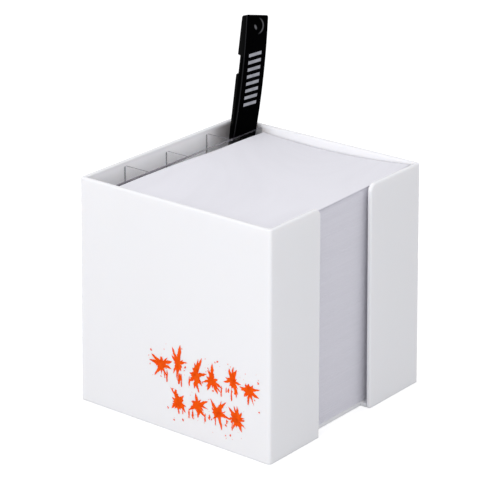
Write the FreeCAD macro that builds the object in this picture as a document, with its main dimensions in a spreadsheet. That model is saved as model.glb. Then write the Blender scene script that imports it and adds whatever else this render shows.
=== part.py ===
"""A cube box for note paper, with a clear comb that makes four pen cells, its paper and one flat push pen.

Millimetres. +X runs along the printed front, which faces -Y; the slotted side faces +X; +Z is up.
The origin is the centre of the footprint, on the surface that the box stands on.
The pen is drawn upright by itself, point at its origin and face towards -Y, and then leaned into its cell.
"""
import FreeCAD, Part
import math
import os
import Sketcher
from FreeCAD import Placement, Rotation, Vector

SIZES = [
    # the moulded shell: a tube with four walls, a little wider at the foot so that it leaves its mould
    ("rim_x", 100.0, "shell outside at the rim, along the front"),
    ("rim_y", 103.0, "shell outside at the rim, front to rear"),
    ("shell_height", 101.0, "foot to rim"),
    ("draft", 1.2, "how much further out each wall stands at the foot"),
    ("wall", 2.0, "thickness of the walls"),
    ("corner", 1.5, "outer radius of the upright corners"),
    ("inner_corner", 0.8, "inner radius of the upright corners"),
    ("rim_round", 0.7, "rounding of the rim and of the slot's edges"),
    ("slot_front", 18.5, "slot's front side at the rim, ahead of the middle"),
    ("slot_rear", 15.9, "slot's rear side at the rim, behind the middle"),
    ("slot_spread", 0.7, "how much further out each side of the slot is at the foot"),
    ("slot_corner", 3.5, "radius at the top of the slot's two sides"),
    # the floor, clicked in from below
    ("floor_thick", 1.8, "floor plate"),
    ("floor_fit", 0.05, "room round the floor plate"),
    ("bead_radius", 0.6, "round of the snap bead"),
    ("bead_stand", 0.35, "how far the bead stands out of the plate's edge"),
    ("bead_room", 0.08, "room round the bead in its groove"),
    ("bead_length", 60.0, "length of each bead"),
    # the clear comb
    ("cell_depth", 14.1, "from the shell's left wall at the rim to the comb's long wall"),
    ("comb_wall", 1.0, "comb's long wall"),
    ("comb_below", 1.2, "comb's top below the rim"),
    ("rib_thick", 1.1, "comb's ribs"),
    ("rib_front", 26.8, "middle of the front rib, ahead of the middle"),
    ("rib_middle", 1.5, "middle of the middle rib, ahead of the middle"),
    ("rib_rear", 27.4, "middle of the rear rib, behind the middle"),
    ("comb_room", 0.4, "room between the comb's long wall and the shell at its ends"),
    ("front_rib_room", 0.9, "from the front rib's end to the shell"),
    ("middle_rib_room", 2.4, "from the middle rib's end to the shell"),
    ("rear_rib_room", 1.0, "from the rear rib's end to the shell"),
    ("rib_corner", 1.0, "rounding of each rib's upper outer corner"),
    ("comb_root", 0.5, "fillet where a rib meets the wall"),
    # the paper
    ("paper_comb_room", 1.05, "room between the comb and the paper"),
    ("paper_end_room", 0.4, "room at the paper's front and rear"),
    ("paper_slot_room", 1.7, "room between the paper and the slotted wall at the rim"),
    ("stack_below", 5.5, "where the pressed stack ends and the loose sheets begin, below the rim"),
    ("sheet_thick", 0.3, "top sheet, with the curl it has"),
    ("sheet_gap", 0.3, "air under the top sheet"),
    # how far the top sheet is below the rim, at nine places
    ("drop_front_left", 1.15, "front left corner"),
    ("drop_front", 2.2, "middle of the front edge"),
    ("drop_front_right", 3.1, "front right corner"),
    ("drop_left", 1.35, "middle of the left edge"),
    ("drop_centre", 2.7, "centre"),
    ("drop_right", 2.8, "middle of the slot edge"),
    ("drop_rear_left", 3.05, "rear left corner"),
    ("drop_rear", 4.0, "middle of the rear edge"),
    ("drop_rear_right", 1.1, "rear right corner"),
    # the pen: outside
    ("pen_width", 10.0, "barrel, side to side"),
    ("pen_thick", 5.3, "barrel, face to back"),
    ("face_radius", 1.0, "barrel's edges beside the clip"),
    ("back_radius", 2.2, "barrel's edges at the back"),
    ("point_out", 2.2, "how far the point stands out of the nose"),
    ("nose_length", 21.8, "nose, from its end to the barrel"),
    ("nose_end_radius", 1.45, "nose at its end"),
    ("waist_up", 10.8, "where the nose's steep lower cone meets its slim upper one, above its end"),
    ("waist_radius", 3.7, "nose where its two cones meet"),
    ("nose_top_radius", 5.4, "upper cone at the barrel, just outside the barrel's edges"),
    ("barrel_length", 98.5, "barrel proper, nose to shoulder"),
    ("neck_show", 8.8, "neck that shows between barrel and cap"),
    ("neck_width", 8.1, "neck, side to side"),
    ("neck_thick", 4.0, "neck, face to back"),
    ("neck_round", 1.5, "neck's edges"),
    ("shoulder_bevel", 0.4, "bevel round the barrel's shoulder"),
    ("push_room", 1.7, "room over the neck to push the cap further down"),
    ("cap_length", 18.7, "push cap, foot to top"),
    ("cap_solid", 5.1, "solid top of the cap"),
    ("cap_back", 2.7, "cap's back behind the pen's axis"),
    ("cap_room", 0.25, "room between cap and neck"),
    ("top_fall", 1.9, "how much lower the cap's top is at the back"),
    ("top_round", 0.9, "rounding of the top"),
    ("clip_length", 57.0, "clip, from its free end to the top"),
    ("clip_thick", 1.0, "clip plate"),
    ("clip_width", 10.4, "clip and cap, side to side"),
    ("clip_foot_corner", 2.5, "corners of the free end"),
    ("clip_edge", 0.45, "rounding along the clip's face"),
    ("bow_radius", 186.0, "radius of the clip's bow"),
    ("bow_up", 27.3, "where the bow stands out furthest, above the free end"),
    ("bow_reach", 6.0, "how far it stands in front of the pen's axis there"),
    ("dish_down", 5.4, "middle of the thumb dish below the top"),
    ("dish_ball", 20.0, "radius of the ball that cuts the dish"),
    ("dish_depth", 0.5, "depth of the dish"),
    # the pen: inside
    ("play", 0.3, "room round what slides inside the pen"),
    ("point_ball", 0.35, "radius of the point's end"),
    ("point_radius", 0.75, "radius of the point where it leaves the nose"),
    ("point_cone", 3.2, "height of the point's cone"),
    ("shank_radius", 0.9, "radius of the point's shank"),
    ("shank_plug", 4.0, "how far the shank goes into the ink tube"),
    ("seat_up", 6.4, "where the spring stands, above the nose's end"),
    ("spring_length", 9.4, "spring, from its seat to the ink tube"),
    ("spring_space", 0.6, "room for the spring round the shank"),
    ("spring_wire", 0.13, "radius of the spring's wire"),
    ("spring_turns", 5.0, "turns of the spring"),
    ("tube_radius", 1.5, "outside of the ink tube"),
    ("spigot_wall", 0.35, "wall of the nose's spigot"),
    ("spigot_length", 6.0, "how far the spigot goes into the barrel"),
    ("neck_seat", 0.4, "what the barrel's bore leaves under its shoulder"),
    ("stroke_room", 5.6, "room over the cam for its stroke"),
    ("cam_length", 8.0, "length of the cam"),
    ("cam_radius", 1.6, "radius of the cam"),
    ("cam_tooth", 1.4, "depth of the cam's teeth"),
    ("cam_gap", 0.7, "half of the gap between two of the cam's teeth"),
    ("cam_teeth", 4.0, "number of the cam's teeth"),
    ("thrust_radius", 1.3, "radius of the thrust tube"),
    ("thrust_bore", 0.7, "radius of the hollow in the thrust tube"),
    # how the pen stands in the rear cell
    ("pen_turn", 62.0, "degrees that its face is turned to the right"),
    ("pen_room", 0.25, "room between the pen and what it leans on"),
    ("pen_lift", 0.2, "room under its point"),
    ("tip_from_wall", 10.3, "from the comb's long wall to the point"),
    ("tip_from_rib", 3.5, "from the rear rib to the point"),
]

# What follows from the sizes above. Heights of the pen are counted from the ball of its point.
DERIVED = [
    ("comb_inner", "rim_x / 2 - wall - cell_depth", "comb's cell side, left of the middle"),
    ("comb_outer", "comb_inner - comb_wall", "comb's paper side, left of the middle"),
    ("comb_top", "shell_height - comb_below", "comb's top"),
    ("paper_left", "comb_outer - paper_comb_room", "paper's edge at the comb, left of the middle"),
    ("paper_right", "rim_x / 2 - wall - paper_slot_room", "paper's edge at the slot, right of the middle"),
    ("paper_end", "rim_y / 2 - wall - paper_end_room", "paper's front and rear edges, from the middle"),
    ("stack_top", "shell_height - stack_below", "top of the pressed stack"),
    ("nose_top", "point_out + nose_length", "where the nose meets the barrel"),
    ("shoulder", "nose_top + barrel_length", "top of the barrel proper"),
    ("cap_foot", "shoulder + neck_show", "lower edge of the push cap"),
    ("pen_top", "cap_foot + cap_length", "top of the cap at its face"),
    ("cap_ceiling", "pen_top - cap_solid", "top of the hollow in the cap"),
    ("neck_top", "cap_ceiling - push_room", "top of the neck inside the cap"),
    ("clip_foot", "pen_top - clip_length", "free end of the clip"),
    ("bow_height", "clip_foot + bow_up", "where the bow stands out furthest"),
    ("dish_height", "pen_top - dish_down", "middle of the thumb dish"),
    ("bore", "cam_radius + play", "radius of the barrel's bore"),
    ("neck_bore", "thrust_radius + play", "radius of the bore through the neck"),
    ("nose_bore", "tube_radius + play", "radius of the nose's upper bore"),
    ("nose_hole", "point_radius + play", "radius of the hole that the point comes out of"),
    ("spigot", "nose_bore + spigot_wall", "radius of the nose's spigot"),
    ("spring_bore", "shank_radius + spring_space", "radius of the bore round the spring"),
    ("spring_seat", "point_out + seat_up", "where the spring stands in the nose"),
    ("tube_foot", "spring_seat + spring_length", "lower end of the ink tube"),
    ("cam_top", "shoulder - neck_seat - stroke_room", "where the cam meets the thrust tube"),
    ("tube_top", "cam_top - cam_length", "upper end of the ink tube"),
]

doc = FreeCAD.newDocument("memo_box")
sheet = doc.addObject("Spreadsheet::Sheet", "size")
entries = SIZES + [(name, f"={formula}", meaning) for name, formula, meaning in DERIVED]
for row, (name, value, meaning) in enumerate(entries, start=1):
    sheet.set(f"A{row}", meaning)
    sheet.set(f"B{row}", str(value))
    sheet.setAlias(f"B{row}", name)
doc.recompute()


# ---------------------------------------------------------------- helpers


def mm(expression):
    """What an expression on the sheet comes to, such as "size.wall / 2"."""
    return float(sheet.evalExpression(expression))


def new_body(label):
    body = doc.addObject("PartDesign::Body", label)
    body.Label = label
    return body


def sketch_on(body, role, name, level=None):
    """A sketch on one of the body's own origin planes, or at a level above it."""
    plane = next(feature for feature in body.Origin.OriginFeatures if feature.Role == role)
    sketch = body.newObject("Sketcher::SketchObject", name)
    sketch.AttachmentSupport = [(plane, "")]
    sketch.MapMode = "FlatFace"
    if level:
        sketch.setExpression("AttachmentOffset.Base.z", level)
    return sketch


def dimension(sketch, kind, where, expression):
    """A sketch dimension that follows the sheet; where holds the geometry and point numbers."""
    index = sketch.addConstraint(Sketcher.Constraint(kind, *where, mm(expression)))
    sketch.renameConstraint(index, f"size_{index}")
    sketch.setExpression(f"Constraints.size_{index}", expression)


def place_point(sketch, edge, end, across, up):
    """Fixes one end of an edge at (across, up), two expressions."""
    for kind, axis, expression in (("DistanceX", -2, across), ("DistanceY", -1, up)):
        if abs(mm(expression)) < 1e-9:
            sketch.addConstraint(Sketcher.Constraint("PointOnObject", edge, end, axis))
        else:
            dimension(sketch, kind, (-1, 1, edge, end), expression)


def outline(sketch, corners):
    """A closed outline of straight lines through corners given as pairs of expressions."""
    points = [Vector(mm(across), mm(up), 0) for across, up in corners]
    first = sketch.GeometryCount
    count = len(points)
    for index in range(count):
        sketch.addGeometry(Part.LineSegment(points[index], points[(index + 1) % count]), False)
    for index in range(count):
        following = first + (index + 1) % count
        sketch.addConstraint(Sketcher.Constraint("Coincident", first + index, 2, following, 1))
    for index, (across, up) in enumerate(corners):
        place_point(sketch, first + index, 1, across, up)


def rectangle(sketch, left, right, low, high):
    outline(sketch, [(left, low), (right, low), (right, high), (left, high)])


def rounded(sketch, half_width, low, high, low_radius, high_radius):
    """A rectangle with rounded corners, as wide to the left as to the right; arguments are expressions."""
    side, bottom, top = mm(half_width), mm(low), mm(high)
    first = sketch.GeometryCount
    # each corner: middle of its arc, radius and starting angle, going round from the lower right
    corners = [
        (side, bottom, low_radius, -90, -1, 1),
        (side, top, high_radius, 0, -1, -1),
        (-side, top, high_radius, 90, 1, -1),
        (-side, bottom, low_radius, 180, 1, 1),
    ]
    arcs = []
    for x, y, radius_name, angle, inward_x, inward_y in corners:
        radius = mm(radius_name)
        middle = Vector(x + inward_x * radius, y + inward_y * radius, 0)
        circle = Part.Circle(middle, Vector(0, 0, 1), radius)
        arcs.append(Part.ArcOfCircle(circle, math.radians(angle), math.radians(angle + 90)))
    for index, arc in enumerate(arcs):
        following = arcs[(index + 1) % 4]
        sketch.addGeometry(arc, False)
        sketch.addGeometry(Part.LineSegment(arc.EndPoint, following.StartPoint), False)
    for index in range(8):
        following = first + (index + 1) % 8
        sketch.addConstraint(Sketcher.Constraint("Tangent", first + index, 2, following, 1))
    for index, straight in enumerate(("Vertical", "Horizontal", "Vertical", "Horizontal")):
        sketch.addConstraint(Sketcher.Constraint(straight, first + 2 * index + 1))
    for index, corner in enumerate(corners):
        dimension(sketch, "Radius", (first + 2 * index,), corner[2])
    dimension(sketch, "DistanceX", (-1, 1, first + 1, 1), half_width)
    dimension(sketch, "DistanceX", (-1, 1, first + 5, 1), f"-({half_width})")
    dimension(sketch, "DistanceY", (-1, 1, first + 3, 1), high)
    dimension(sketch, "DistanceY", (-1, 1, first + 7, 1), low)


def circle_at_axis(sketch, radius):
    index = sketch.addGeometry(Part.Circle(Vector(0, 0, 0), Vector(0, 0, 1), mm(radius)), False)
    sketch.addConstraint(Sketcher.Constraint("Coincident", index, 3, -1, 1))
    dimension(sketch, "Radius", (index,), radius)


def pad(body, sketch, name, length, side="One side", kind="PartDesign::Pad"):
    """A Pad, or with kind a Pocket, whose length follows the sheet."""
    feature = body.newObject(kind, name)
    feature.Profile = sketch
    feature.SideType = side
    feature.setExpression("Length", length)
    doc.recompute()
    return feature


def pocket(body, sketch, name, length, side="One side", towards_normal=False):
    """A Pocket, checked for really taking something away."""
    before = body.Tip.Shape.Volume
    feature = pad(body, sketch, name, length, side, kind="PartDesign::Pocket")
    feature.Reversed = towards_normal
    doc.recompute()
    if feature.Shape.Volume > before - 1e-6:
        raise ValueError(f"{name} cuts nothing")
    return feature


def turned(body, sketch, name, kind="PartDesign::Revolution"):
    """A profile turned once round the body's own Z axis."""
    feature = body.newObject(kind, name)
    feature.Profile = sketch
    feature.ReferenceAxis = (sketch, ["V_Axis"])
    feature.Angle = 360
    doc.recompute()
    return feature


def round_edges(body, name, radius, chosen, kind="PartDesign::Fillet", measure="Radius"):
    """A Fillet on the edges of the body that the test chooses."""
    base = body.Tip
    names = [f"Edge{number}" for number, edge in enumerate(base.Shape.Edges, 1) if chosen(edge)]
    feature = body.newObject(kind, name)
    feature.Base = (base, names)
    feature.setExpression(measure, radius)
    doc.recompute()


def bevel_edges(body, name, size, chosen):
    """A Chamfer on the edges of the body that the test chooses."""
    round_edges(body, name, size, chosen, kind="PartDesign::Chamfer", measure="Size")


def level_edge(edge, height):
    box = edge.BoundBox
    return abs(box.ZMin - height) < 1e-3 and abs(box.ZMax - height) < 1e-3


def part_object(kind, name, **sizes):
    """A Part primitive or boolean with its sizes bound to the sheet."""
    thing = doc.addObject(kind, name)
    for size, expression in sizes.items():
        thing.setExpression(size, expression)
    return thing


# ---------------------------------------------------------------- the holder

def half_outside(axis, level):
    """Half of the shell's outside at a level, along x or y."""
    return f"(size.rim_{axis} / 2 + size.draft * (1 - ({level}) / size.shell_height))"


def half_inside(axis, level):
    return f"({half_outside(axis, level)} - size.wall)"


def leaning_block(body, name, half, low, high, less="0", kind="PartDesign::AdditiveWedge"):
    """A block between two levels whose four sides lean with the shell's walls, taken in by less."""
    block = body.newObject(kind, name)
    # a wedge narrows along its own Y, so it is stood up by a quarter turn about X
    block.Placement = Placement(Vector(0, 0, 0), Rotation(Vector(1, 0, 0), 90))
    for own, axis in (("X", "x"), ("Z", "y")):
        for end, level in (("", low), ("2", high)):
            reach = f"({half(axis, level)} - {less})"
            block.setExpression(f"{own}{end}min", f"-{reach}")
            block.setExpression(f"{own}{end}max", reach)
    block.setExpression("Ymin", low)
    block.setExpression("Ymax", high)
    doc.recompute()


def round_uprights(body, name, radius, half, less="0"):
    """Rounds the four upright edges of a leaning block."""

    def off_side(spot, axis, place):
        return abs(abs(place) - mm(f"{half(axis, str(spot.Z))} - {less}"))

    def upright(edge):
        at_corner = all(
            max(off_side(spot, "x", spot.X), off_side(spot, "y", spot.Y)) < 1e-3 for spot in edge.Vertexes
        )
        return at_corner and edge.BoundBox.ZLength > 1e-3

    round_edges(body, name, radius, upright)


def floor_beads(label, extra):
    """One round bar along the middle of the floor plate's front, rear and left edges."""
    middle = "size.floor_thick / 2"
    sunk = "(size.bead_radius - size.bead_stand + size.floor_fit)"
    front = f"({half_inside('y', middle)} - {sunk})"
    left = f"({half_inside('x', middle)} - {sunk})"
    length = f"size.bead_length + 2 * {extra}"
    bars = []
    for side, turn, x, y in (
        ("front", (0, 1, 0), f"-({length}) / 2", f"-{front}"),
        ("rear", (0, 1, 0), f"-({length}) / 2", front),
        ("left", (-1, 0, 0), f"-{left}", f"-({length}) / 2"),
    ):
        bar = part_object(
            "Part::Cylinder", f"{label}_{side}", Radius=f"size.bead_radius + {extra}", Height=length
        )
        bar.Placement = Placement(Vector(0, 0, 0), Rotation(Vector(*turn), 90))
        for axis, expression in zip("xyz", (x, y, middle)):
            bar.setExpression(f"Placement.Base.{axis}", expression)
        bars.append(bar)
    return bars


def slot_side(side, level):
    """How far the slot's front or rear side is from the middle at a level."""
    return f"(size.slot_{side} + size.slot_spread * (1 - ({level}) / size.shell_height))"


def cut_slot(body):
    """The finger slot through the right wall, rounded over at the rim."""
    low, high = "-size.wall", "size.shell_height + size.wall"
    slot = sketch_on(body, "YZ_Plane", "slot_outline")
    outline(
        slot,
        [
            (f"-{slot_side('front', low)}", low),
            (slot_side("rear", low), low),
            (slot_side("rear", high), high),
            (f"-{slot_side('front', high)}", high),
        ],
    )
    pocket(body, slot, "slot", "size.rim_x", towards_normal=True)

    height = mm("size.shell_height")

    def beside_slot(edge):
        """Both ends lie on one side of the slot."""
        fronts = [spot.Point.y + mm(slot_side("front", str(spot.Z))) for spot in edge.Vertexes]
        rears = [spot.Point.y - mm(slot_side("rear", str(spot.Z))) for spot in edge.Vertexes]
        return any(max(abs(off) for off in offs) < 1e-3 for offs in (fronts, rears))

    round_edges(body, "slot_corners", "size.slot_corner", lambda e: beside_slot(e) and level_edge(e, height))
    corner = mm("size.slot_corner")

    def at_rim_or_slot(edge):
        box = edge.BoundBox
        upright = beside_slot(edge) and box.ZLength > height / 2
        over_corner = box.ZMin > height - corner * 1.1 and box.YLength > corner / 2
        return level_edge(edge, height) or upright or over_corner

    round_edges(body, "rim_rounding", "size.rim_round", at_rim_or_slot)


def make_holder_shell():
    body = new_body("shell_moulding")
    height = "size.shell_height"
    leaning_block(body, "walls", half_outside, "0", height)
    round_uprights(body, "corners", "size.corner", half_outside)
    leaning_block(body, "hollow", half_inside, "0", height, kind="PartDesign::SubtractiveWedge")
    round_uprights(body, "inner_corners", "size.inner_corner", half_inside)
    cut_slot(body)
    grooves = doc.addObject("Part::MultiFuse", "grooves")
    grooves.Shapes = floor_beads("groove", "size.bead_room")
    shell = doc.addObject("Part::Cut", "holder_shell")
    shell.Base = body
    shell.Tool = grooves
    doc.recompute()
    return shell


def make_holder_base():
    body = new_body("floor_plate")
    leaning_block(body, "plate", half_inside, "0", "size.floor_thick", less="size.floor_fit")
    round_uprights(body, "corners", "size.inner_corner", half_inside, less="size.floor_fit")
    notch = sketch_on(body, "XY_Plane", "notch_outline")
    rectangle(notch, "size.paper_right", "size.rim_x", f"-{slot_side('front', '0')}", slot_side("rear", "0"))
    pocket(body, notch, "notch", "size.floor_thick", towards_normal=True)
    base = doc.addObject("Part::MultiFuse", "holder_base")
    base.Shapes = [body, *floor_beads("bead", "0")]
    doc.recompute()
    return base


def make_pen_comb():
    """One long wall with three ribs; the shell's own wall closes the four cells."""
    body = new_body("pen_comb")
    end = f"({half_inside('y', 'size.shell_height')} - size.comb_room)"
    shell_wall = half_inside("x", "size.shell_height")
    tall = "size.comb_top - size.floor_thick"
    wall = sketch_on(body, "XY_Plane", "wall_outline", "size.floor_thick")
    rectangle(wall, "-size.comb_inner", "-size.comb_outer", f"-{end}", end)
    pad(body, wall, "long_wall", tall)
    ribs = sketch_on(body, "XY_Plane", "rib_outlines", "size.floor_thick")
    for middle, place in (
        ("-size.rib_front", "front"),
        ("-size.rib_middle", "middle"),
        ("size.rib_rear", "rear"),
    ):
        low, high = f"{middle} - size.rib_thick / 2", f"{middle} + size.rib_thick / 2"
        rectangle(ribs, f"-({shell_wall} - size.{place}_rib_room)", "-size.comb_inner", low, high)
    pad(body, ribs, "ribs", tall)
    inner = mm("size.comb_inner")
    outermost = mm(end)

    def at_root(edge):
        box = edge.BoundBox
        upright = box.ZLength > mm(tall) / 2
        on_wall = max(abs(box.XMin + inner), abs(box.XMax + inner)) < 1e-3
        return upright and on_wall and abs(box.YMin) < outermost - mm("size.comb_root")

    def at_rib_corner(edge):
        box = edge.BoundBox
        outer = box.XMax < -inner - mm("size.rib_corner")
        return level_edge(edge, mm("size.comb_top")) and outer and box.XLength < 1e-3

    round_edges(body, "roots", "size.comb_root", at_root)
    round_edges(body, "rib_corners", "size.rib_corner", at_rib_corner)
    return body


# ---------------------------------------------------------------- the paper


def paper_box(name, low, high):
    """A block with the sheets' outline between two levels."""
    box = part_object(
        "Part::Box",
        name,
        Length="size.paper_right + size.paper_left",
        Width="2 * size.paper_end",
        Height=f"{high} - {low}",
    )
    for axis, expression in zip("xyz", ("-size.paper_left", "-size.paper_end", low)):
        box.setExpression(f"Placement.Base.{axis}", expression)
    return box


def make_paper_face():
    """The gentle wave of the topmost sheet: a quadratic patch through nine named heights."""
    left, right, end = mm("-size.paper_left"), mm("size.paper_right"), mm("size.paper_end")
    rows = [
        ("drop_front_left", "drop_front", "drop_front_right"),
        ("drop_left", "drop_centre", "drop_right"),
        ("drop_rear_left", "drop_rear", "drop_rear_right"),
    ]
    heights = [[mm(f"size.shell_height - size.{name}") for name in row] for row in rows]

    def pull(values):
        """The middle pole that makes a quadratic pass through its middle value."""
        return [values[0], 2 * values[1] - (values[0] + values[2]) / 2, values[2]]

    pulled = [pull(row) for row in heights]
    poles = [pull([pulled[row][column] for row in range(3)]) for column in range(3)]
    patch = Part.BezierSurface()
    patch.increase(2, 2)
    for column, x in enumerate((left, (left + right) / 2, right)):
        for row, y in enumerate((-end, 0, end)):
            patch.setPole(column + 1, row + 1, Vector(x, y, poles[column][row]))
    face = doc.addObject("Part::Feature", "paper_face")
    face.Shape = patch.toShape()
    return face


def extruded(name, face, length, start):
    """The wavy face drawn out downwards by a length, from a given distance below itself."""
    thing = part_object("Part::Extrusion", name, LengthFwd=length)
    thing.Base = face
    thing.DirMode = "Custom"
    thing.Dir = Vector(0, 0, -1)
    thing.Solid = True
    thing.setExpression("Placement.Base.z", f"-({start})")
    return thing


def make_loose_sheets(face):
    """The wavy upper sheets, from the pressed stack up to just under the top sheet."""
    deep = extruded("sheets_to_below", face, "size.stack_below * 2", "size.sheet_thick + size.sheet_gap")
    room = paper_box("sheets_space", "size.stack_top", "size.shell_height")
    sheets = doc.addObject("Part::MultiCommon", "loose_sheets")
    sheets.Shapes = [deep, room]
    doc.recompute()
    return sheets


def make_top_sheet(face):
    top = extruded("top_sheet", face, "size.sheet_thick", "0")
    doc.recompute()
    return top


# ---------------------------------------------------------------- the pen, upright by itself


def barrel_section(body, name, level):
    sketch = sketch_on(body, "XY_Plane", name, level)
    half = "size.pen_thick / 2"
    rounded(sketch, "size.pen_width / 2", f"-{half}", half, "size.face_radius", "size.back_radius")
    return sketch


def make_pen_barrel():
    body = new_body("pen_barrel")
    pad(body, barrel_section(body, "section", "size.nose_top"), "tube", "size.barrel_length")
    bevel_edges(body, "shoulder_edge", "size.shoulder_bevel", lambda e: level_edge(e, mm("size.shoulder")))
    neck = sketch_on(body, "XY_Plane", "neck_section", "size.shoulder")
    half = "size.neck_thick / 2"
    rounded(neck, "size.neck_width / 2", f"-{half}", half, "size.neck_round", "size.neck_round")
    pad(body, neck, "neck", "size.neck_top - size.shoulder")
    for name, radius, length in (
        ("spigot_seat", "size.spigot", "size.spigot_length"),
        ("bore", "size.bore", "size.barrel_length - size.neck_seat"),
        ("neck_bore", "size.neck_bore", "size.neck_top - size.nose_top"),
    ):
        circle = sketch_on(body, "XY_Plane", f"{name}_circle", "size.nose_top")
        circle_at_axis(circle, radius)
        pocket(body, circle, name, length, towards_normal=True)
    return body


def make_pen_nose():
    """The barrel's section turned down to two cones, with a spigot for the barrel and room for the spring."""
    body = new_body("pen_nose")
    pad(body, barrel_section(body, "section", "size.point_out"), "stub", "size.nose_length")
    cones = sketch_on(body, "XZ_Plane", "cone_profile")
    outline(
        cones,
        [
            ("size.nose_end_radius", "size.point_out"),
            ("size.pen_width", "size.point_out"),
            ("size.pen_width", "size.nose_top"),
            ("size.nose_top_radius", "size.nose_top"),
            ("size.waist_radius", "size.point_out + size.waist_up"),
        ],
    )
    turned(body, cones, "cones", kind="PartDesign::Groove")
    spigot = sketch_on(body, "XY_Plane", "spigot_circle", "size.nose_top")
    circle_at_axis(spigot, "size.spigot")
    pad(body, spigot, "spigot", "size.spigot_length")
    hollow = sketch_on(body, "XZ_Plane", "hollow_profile")
    step = "size.tube_foot - size.play"
    outline(
        hollow,
        [
            ("0", "0"),
            ("size.nose_hole", "0"),
            ("size.nose_hole", "size.spring_seat - size.spring_bore + size.nose_hole"),
            ("size.spring_bore", "size.spring_seat"),
            ("size.spring_bore", step),
            ("size.nose_bore", step),
            ("size.nose_bore", "size.nose_top + 2 * size.spigot_length"),
            ("0", "size.nose_top + 2 * size.spigot_length"),
        ],
    )
    turned(body, hollow, "hollow", kind="PartDesign::Groove")
    return body


def bow_arc(sketch, radius):
    """An arc of the clip's bow between the clip's foot and its top, round the bow's middle."""
    middle_x, middle_z, reach = mm("size.bow_radius - size.bow_reach"), mm("size.bow_height"), mm(radius)
    ends = [math.asin((mm(f"size.{end}") - middle_z) / reach) for end in ("clip_foot", "pen_top")]
    circle = Part.Circle(Vector(middle_x, middle_z, 0), Vector(0, 0, 1), reach)
    index = sketch.addGeometry(Part.ArcOfCircle(circle, math.pi - ends[1], math.pi - ends[0]), False)
    dimension(sketch, "Radius", (index,), radius)
    place_point(sketch, index, 3, "size.bow_radius - size.bow_reach", "size.bow_height")
    dimension(sketch, "DistanceY", (-1, 1, index, 1), "size.pen_top")
    dimension(sketch, "DistanceY", (-1, 1, index, 2), "size.clip_foot")
    return index


def face_at(level):
    """How far the clip's face stands in front of the pen's axis at a level."""
    rise = f"(({level}) - size.bow_height)"
    return f"(size.bow_reach - size.bow_radius + sqrt(size.bow_radius ^ 2 - {rise} ^ 2))"


def make_pen_cap_clip():
    """Push cap and bowed clip in one moulding: a curved plate with a hollow block behind its upper end."""
    body = new_body("pen_cap_clip")
    plate = sketch_on(body, "YZ_Plane", "bow_profile")
    face = bow_arc(plate, "size.bow_radius")
    inside = bow_arc(plate, "size.bow_radius - size.clip_thick")
    for end in (1, 2):
        ends = [plate.getPoint(arc, end) for arc in (face, inside)]
        line = plate.addGeometry(Part.LineSegment(*ends), False)
        plate.addConstraint(Sketcher.Constraint("Coincident", line, 1, face, end))
        plate.addConstraint(Sketcher.Constraint("Coincident", line, 2, inside, end))
    pad(body, plate, "clip_plate", "size.clip_width", side="Symmetric")

    block = sketch_on(body, "YZ_Plane", "block_profile")
    inward = "size.clip_thick / 2"
    outline(
        block,
        [
            (f"-{face_at('size.cap_foot')} + {inward}", "size.cap_foot"),
            ("size.cap_back", "size.cap_foot"),
            ("size.cap_back", "size.pen_top"),
            (f"-{face_at('size.pen_top')} + {inward}", "size.pen_top"),
        ],
    )
    pad(body, block, "cap_block", "size.clip_width", side="Symmetric")

    slant = sketch_on(body, "YZ_Plane", "top_slant")
    outline(
        slant,
        [
            (f"-{face_at('size.pen_top')}", "size.pen_top"),
            ("size.cap_back", "size.pen_top - size.top_fall"),
            ("size.cap_back", "size.pen_top"),
        ],
    )
    pocket(body, slant, "slant", "size.clip_width", side="Symmetric")

    def whole(edge, test):
        """The test holds all along the edge."""
        first, last = edge.ParameterRange
        return all(test(edge.valueAt(first + share * (last - first))) for share in (0, 0.3, 0.7, 1))

    face_top, back = mm(face_at("size.pen_top")), mm("size.cap_back")
    top, fall = mm("size.pen_top"), mm("size.top_fall")

    def on_top(spot):
        return abs(top - fall * (spot.y + face_top) / (back + face_top) - spot.z) < 0.01

    def on_back(spot):
        return abs(spot.y - back) < 0.01

    def on_face(spot):
        return abs(spot.y + mm(face_at(str(spot.z)))) < 0.01

    foot, thin = mm("size.clip_foot"), mm("size.clip_thick / 2")

    def upright_at_back(edge):
        return whole(edge, on_back) and not level_edge(edge, edge.BoundBox.ZMin)

    def across_foot(edge):
        return level_edge(edge, foot) and edge.BoundBox.YLength > thin

    round_edges(body, "cap_back_round", "size.back_radius", upright_at_back)
    round_edges(body, "foot_corners", "size.clip_foot_corner", across_foot)
    round_edges(body, "top_round", "size.top_round", lambda e: whole(e, on_top) and not whole(e, on_face))
    hollow = sketch_on(body, "XY_Plane", "hollow_section", "size.cap_foot")
    half = "(size.neck_thick / 2 + size.cap_room)"
    corner = "size.neck_round + size.cap_room"
    rounded(hollow, "size.neck_width / 2 + size.cap_room", f"-{half}", half, corner, corner)
    pocket(body, hollow, "cap_hollow", "size.cap_ceiling - size.cap_foot", towards_normal=True)
    round_edges(body, "face_edges", "size.clip_edge", lambda e: whole(e, on_face))

    # the ball that cuts the dish stands straight off the bowed face
    dish = body.newObject("PartDesign::SubtractiveSphere", "thumb_dish")
    dish.setExpression("Radius", "size.dish_ball")
    away = "(size.dish_ball - size.dish_depth)"
    slope = "((size.dish_height - size.bow_height) / size.bow_radius)"
    dish.setExpression(
        "Placement.Base.y", f"-{face_at('size.dish_height')} - {away} * sqrt(1 - {slope} ^ 2)"
    )
    dish.setExpression("Placement.Base.z", f"size.dish_height + {away} * {slope}")
    doc.recompute()
    return body


def make_pen_thrust_tube():
    body = new_body("pen_thrust_tube")
    ring = sketch_on(body, "XY_Plane", "ring", "size.cam_top")
    circle_at_axis(ring, "size.thrust_radius")
    circle_at_axis(ring, "size.thrust_bore")
    pad(body, ring, "tube", "size.cap_ceiling - size.cam_top")
    return body


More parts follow.
